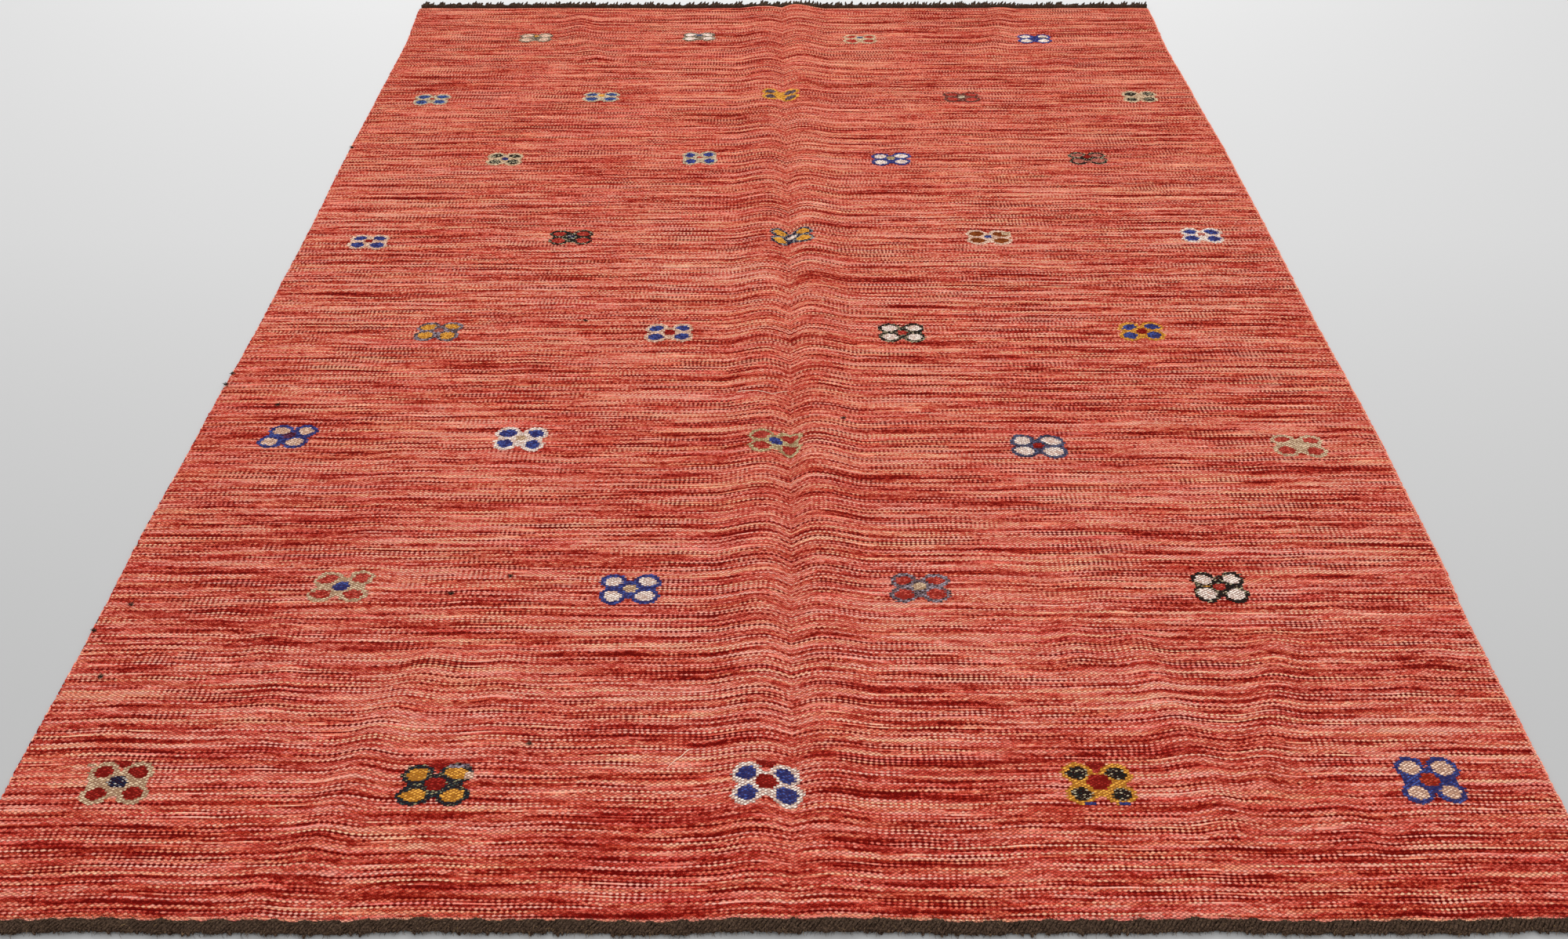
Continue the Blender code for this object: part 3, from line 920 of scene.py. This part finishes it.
# the plaited ends of the warps
nearPlait = {
    "name": "nearPlait", "node": "near_end_plait", "outwards": -1, "seed": 51,
    "strands": 5, "lay": 0.0285, "strandRadius": 0.0024, "halfWide": 0.0068, "halfTall": 0.0028,
    "gap": 0.0004, "short": 0.003, "follows": 0.35, "step": 0.0019,
    "lumps": [(0.11, 0.034, 0), (0.08, 0.061, 0.3), (0.05, 0.0187, 0.7)],
    "fuzz": 0.0018, "fuzzScale": 0.0022,
    "tufts": 190, "tuftRadius": 0.0022, "tuftLength": 0.005,
    "tuftTurn": -0.02, "tuftRise": -0.1, "tuftLean": (0.15, 0.45),
    "hairs": 4600, "hairLength": 0.0062, "hairRadius": 0.00028,
}
# the far one stands higher, with longer cut ends
farPlait = {
    **nearPlait,
    "name": "farPlait", "node": "far_end_plait", "outwards": 1, "seed": 52,
    "lay": 0.027, "strandRadius": 0.0023, "halfWide": 0.0042, "halfTall": 0.0036,
    "lumps": [(0.14, 0.034, 0), (0.1, 0.061, 0.3), (0.06, 0.0187, 0.7)],
    "tufts": 420, "tuftRadius": 0.0027, "tuftLength": 0.0088,
    "tuftTurn": 0.1, "tuftRise": 0.95, "tuftLean": (0.7, 0.45),
    "hairs": 1500, "hairLength": 0.005, "hairRadius": 0.00026,
}
warpTones = [(0.3, "#17100c"), (0.46, "#382a21"), (0.62, "#58463a"), (0.8, "#84694a"), (1, "#b39a68")]


def makeWarpWool():
    material, tree, shader = newMaterial("warpWool")
    fleck = fleckNoise(tree, 520, 3, 0.65)
    finishWool(shader, rampOf(toneOf(tree).line(0.45, fleck), warpTones), fleck, 0.0008, 0.8)
    return material


def plaitPoints(sizes, x, turn, out=1.0):
    # places on the plait's ring of strands: turn is 0 outwards and 0.25 on top
    outwards, radius = sizes["outwards"], sizes["strandRadius"]
    waves = cloth["nearWaves"] if outwards < 0 else cloth["farWaves"]
    end = outwards * cloth["length"] / 2 + sumWaves(waves, x)
    lump = 1 + sumWaves(sizes["lumps"], x)
    angle = 2 * np.pi * turn
    away = sizes["gap"] + radius + sizes["halfWide"] * (1 + out * lump * np.cos(angle))
    z = sizes["follows"] * clothLift(x, end) + radius + sizes["halfTall"] * lump * (1 + out * np.sin(angle))
    return np.column_stack([x + frameShift[0], end + outwards * away + frameShift[1], z]), lump


def makeStrand(name, places, radii, thickness):
    curve = bpy.data.curves.new(name, "CURVE")
    curve.dimensions = "3D"
    curve.bevel_depth = thickness
    curve.bevel_resolution = 1
    curve.use_fill_caps = True
    line = curve.splines.new("POLY")
    line.points.add(len(places) - 1)
    line.points.foreach_set("co", np.column_stack([places, np.ones(len(places))]).ravel())
    line.points.foreach_set("radius", radii)
    return addObject(name, curve)


def joinStrands(name, strands):
    pick(*strands)
    bpy.ops.object.convert(target="MESH")
    bpy.ops.object.join()
    body = bpy.context.object
    body.name = name
    return body


def makeLock(sides, radius, tip, length, swell, bend):
    # a thin cone along +y, swollen and bent at its middle
    lock = addPrimitive("cone", vertices=sides, radius1=radius, radius2=tip * radius, depth=length)
    setMode("EDIT")
    bpy.ops.mesh.select_all(action="SELECT")
    bpy.ops.mesh.bisect(plane_co=(0, 0, 0), plane_no=(0, 0, 1))
    bpy.ops.transform.resize(value=(*swell, 1))
    bpy.ops.transform.translate(value=(bend * length, 0, 0))
    setMode("OBJECT")
    lock.location = (0, length / 2, 0)
    lock.rotation_euler = (-math.pi / 2, 0, 0)
    bpy.ops.object.transform_apply()
    return lock


def makeHair(length, radius):
    return makeLock(3, radius, 0.3, length, (1, 1), 0.16)


def scatter(name, shape, places, directions, sizes, tones):
    # joined copies of one small mesh, its +y turned along each direction; the one is then deleted
    points = meshPoints(shape.data)
    ahead = directions / np.linalg.norm(directions, axis=1)[:, None]
    across = np.cross(ahead, (0.01, 0.01, 1.0))
    across /= np.linalg.norm(across, axis=1)[:, None]
    axes = np.stack([across, ahead, np.cross(across, ahead)], axis=1)
    moved = (points @ axes) * sizes[:, None, None] + places[:, None, :]
    moved = moved.reshape(-1, 3)
    moved[:, 2] = np.maximum(moved[:, 2], 0.0001)
    faces = copiedFaces(shape, len(places))
    bpy.data.objects.remove(shape)
    return meshFrom(name, moved, faces, np.zeros(len(faces)), np.repeat(tones, len(points)))


def makePlaitBody(sizes, left, right, rng):
    x = np.linspace(left, right, round((right - left) / sizes["step"]) + 1)
    strands = []
    for number in range(sizes["strands"]):
        turn = -sizes["outwards"] * x / sizes["lay"] + number / sizes["strands"]
        places, lump = plaitPoints(sizes, x, turn)
        loose = rng.normal(0, 0.00025, (2, len(x)))
        places[:, 1] += loose[0]
        places[:, 2] += np.abs(loose[1])
        radii = lump * rng.uniform(0.84, 1.12, len(x))
        strands.append(makeStrand("strand%d" % number, places, radii, sizes["strandRadius"]))
    # the wool inside the twist
    core = makeStrand("core", *plaitPoints(sizes, x[::4], 0.0, 0.0), 0.85 * sizes["strandRadius"])
    body = joinStrands(sizes["name"], strands + [core])
    fuzz = bpy.data.textures.new("woolLumps", "CLOUDS")
    fuzz.noise_scale = sizes["fuzzScale"]
    rough = body.modifiers.new("fuzz", "DISPLACE")
    rough.texture = fuzz
    rough.texture_coords = "LOCAL"
    rough.strength = sizes["fuzz"]
    rough.mid_level = 0.55
    applyModifiers(body)
    keepAbove(body.data, 0.0001)
    setTone(body.data, np.zeros(len(body.data.vertices)))
    return body


def makeTufts(sizes, left, right, rng):
    # cut ends along the outer side: short locks with blunt tips
    tuft = makeLock(5, sizes["tuftRadius"], 0.4, sizes["tuftLength"], (1.25, 1.15), 0)
    count = sizes["tufts"]
    at = np.sort(rng.uniform(left + 0.002, right - 0.002, count))
    places = plaitPoints(sizes, at, rng.uniform(-0.05, 0.10, count) + sizes["tuftTurn"])[0]
    lean = sizes["tuftLean"][0] + sizes["tuftLean"][1] * rng.normal(0, 1, count)
    rise = sizes["tuftRise"] + rng.normal(0, 0.25, count)
    way = np.column_stack([lean, np.full(count, float(sizes["outwards"])), rise])
    return scatter("tufts", tuft, places, way, rng.uniform(0.6, 1.3, count), rng.uniform(-0.15, 0.1, count))


def makeHairs(sizes, left, right, rng):
    # fibres that lie over the plait from the cloth outwards, and some that stand off it
    hair = makeHair(sizes["hairLength"], sizes["hairRadius"])
    count = sizes["hairs"]
    at = rng.uniform(left, right, count)
    turn = rng.uniform(-0.02, 0.50, count)
    places = plaitPoints(sizes, at, turn, 1.30)[0]
    angle = 2 * np.pi * turn
    off = np.abs(rng.normal(0, 0.35, count))
    way = np.column_stack([
        rng.normal(-0.35, 0.55, count),
        sizes["outwards"] * (np.sin(angle) + off * np.cos(angle)) + rng.normal(0, 0.2, count),
        off * np.sin(angle) - np.cos(angle) + rng.normal(0, 0.2, count),
    ])
    return scatter("hairs", hair, places, way, rng.uniform(0.5, 1.4, count), rng.uniform(-0.4, 0.6, count))


def makePlait(sizes, wool):
    rng = np.random.default_rng(sizes["seed"])
    atEnd = np.array(sizes["outwards"] * cloth["length"] / 2)
    left, right = float(edgeAt(-1, atEnd)) + sizes["short"], float(edgeAt(1, atEnd)) - sizes["short"]
    body = makePlaitBody(sizes, left, right, rng)
    joinInto(body, makeTufts(sizes, left, right, rng), makeHairs(sizes, left, right, rng))
    dress(body, wool)
    smooth(body, 60)
    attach(body, "root")
    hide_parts(sizes["node"])
    print(sizes["name"], "plaited:", len(body.data.polygons), "faces")
    return body


# the turns of the wefts round the outer warps
turns = {
    "apart": 0.0048, "out": 0.0004, "length": 0.0046, "radius": 0.0013, "bevel": 0.0006,
    "below": 0.0018, "endGap": 0.004, "bulge": 0.0008, "spread": 0.00035, "slip": 0.0005,
}


def makeTurnWool():
    material, tree, shader = newMaterial("turnWool")
    finishWool(shader, rampOf(toneOf(tree), weave["tones"]), fleckNoise(tree, 600), 0.0003, 0.5)
    return material


def makeTurns(sizes, side, wool):
    # a small rounded loop for every other weft, along one edge
    rng = np.random.default_rng(80 + side)
    loop = addPrimitive("cylinder", vertices=6, radius=sizes["radius"], depth=sizes["length"])
    setMode("EDIT")
    bpy.ops.mesh.select_all(action="SELECT")
    bpy.ops.mesh.bevel(offset=sizes["bevel"], segments=1)
    setMode("OBJECT")
    loop.rotation_euler = (-math.pi / 2, 0, 0)
    bpy.ops.object.transform_apply()
    half = cloth["length"] / 2 - sizes["endGap"]
    along = np.arange(-half, half, sizes["apart"])
    count = len(along)
    along = along + rng.normal(0, sizes["slip"], count)
    x, y, z = clothPoint(np.full(count, float(side)), along)
    out = sizes["out"] + sizes["bulge"] * softNoise(along, along * 0, 0.02, 1, 90 + side)
    out = out + rng.normal(0, sizes["spread"], count)
    z = np.maximum(z - sizes["below"], sizes["radius"] + 0.0001)
    way = np.column_stack([rng.normal(-0.12, 0.15, count), np.ones(count), rng.normal(0, 0.12, count)])
    tones = np.clip(0.5 + 0.8 * softNoise(along, along * 0 + side, 0.007, 1, 95), 0, 1)
    if side > 0:
        tones = 0.55 + 0.45 * tones
    name = "turnsRight" if side > 0 else "turnsLeft"
    places = np.column_stack([x + side * out, y, z])
    loops = scatter(name, loop, places, way, rng.uniform(0.8, 1.15, count), tones)
    dress(loops, wool)
    smooth(loops, 60)
    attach(loops, "root")
    return loops


# loose threads and burrs caught in the wool, by their places on the cloth
strays = {
    "threads": [
        [(-0.1257, -1.2237), (-0.1395, -1.2377), (-0.1539, -1.2555)],
        [(-0.086, -0.3756), (-0.0585, -0.3681), (-0.0237, -0.3805), (0.0039, -0.3756)],
    ],
    "threadRadius": 0.0007, "threadSteps": 14,
    "burrs": [
        (-0.9634, -0.9407), (-0.9552, -1.0912), (-0.4966, -0.9163), (-0.4139, -0.8753),
        (-0.3395, -1.2181), (-0.8839, -0.4197), (-0.3758, -0.1395), (0.1007, -0.4673),
        (-0.9855, 0.6175),
    ],
    # loose loops along the left edge
    "edgeLoops": [(-0.9985, -0.9966), (-0.9914, -0.3201), (-0.9925, -0.3556)],
    "burrHairs": 26, "burrLength": 0.004, "burrSize": 0.0011, "hairRadius": 0.0005,
    "sway": 0.0012, "insideEdge": 0.016,
}


def makeThreads(sizes, surface):
    strands = []
    for line in sizes["threads"]:
        line = np.array([seenOnCloth(surface, *point) for point in line])
        at = np.linspace(0, len(line) - 1, sizes["threadSteps"])
        x, y = (np.interp(at, np.arange(len(line)), line[:, axis]) for axis in (0, 1))
        y += sizes["sway"] * np.sin(at * 5)
        z = clothHeights(surface, x, y) + 0.6 * sizes["threadRadius"]
        taper = np.interp(at, (0, 0.2, len(line) - 1), (0.5, 1, 0.6))
        strands.append(makeStrand("thread", np.column_stack([x, y, z]), taper, sizes["threadRadius"]))
    body = joinStrands("strayBits", strands)
    setTone(body.data, np.full(len(body.data.vertices), 0.8))
    return body


def makeBurrs(sizes, surface):
    rng = np.random.default_rng(61)
    middles = np.repeat(np.array(sizes["burrs"] + sizes["edgeLoops"]), sizes["burrHairs"], axis=0)
    middles = middles + rng.normal(0, sizes["burrSize"], middles.shape)
    count = len(middles)
    inside = np.maximum(middles[:, 0], -cloth["width"] / 2 + sizes["insideEdge"])
    z = clothHeights(surface, inside, middles[:, 1]) + rng.uniform(0.0003, 0.0013, count)
    way = np.column_stack([rng.normal(0, 1, count), rng.normal(0, 0.6, count), rng.uniform(0, 0.5, count)])
    hair = makeHair(sizes["burrLength"], sizes["hairRadius"])
    places = np.column_stack([middles, z])
    burrs = scatter("burrs", hair, places, way, rng.uniform(0.6, 1.5, count), rng.uniform(-0.3, 0, count))
    burrs.data.polygons.foreach_set("material_index", np.ones(len(burrs.data.polygons), np.int32))
    return burrs


def makeStrays(sizes, surface, threadWool, burrWool):
    body, burrs = makeThreads(sizes, surface), makeBurrs(sizes, surface)
    for piece in (body, burrs):
        dress(piece, threadWool, burrWool)
    joinInto(body, burrs)
    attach(body, "root")
    return body


frameShift = frameOffset()
makeStudio(studio)
sheet = makeCloth(cloth)
surface = BVHTree.FromObject(sheet, bpy.context.evaluated_depsgraph_get())
flowers = makeFlowers(surface)
warpWool = makeWarpWool()
plaits = [makePlait(nearPlait, warpWool), makePlait(farPlait, warpWool)]
strayBits = makeStrays(strays, surface, bpy.data.materials["creamYarn"], warpWool)
turnWool = makeTurnWool()
edgeTurns = [makeTurns(turns, side, turnWool) for side in (-1, 1)]
withPieces = flowers + plaits + edgeTurns + [strayBits]
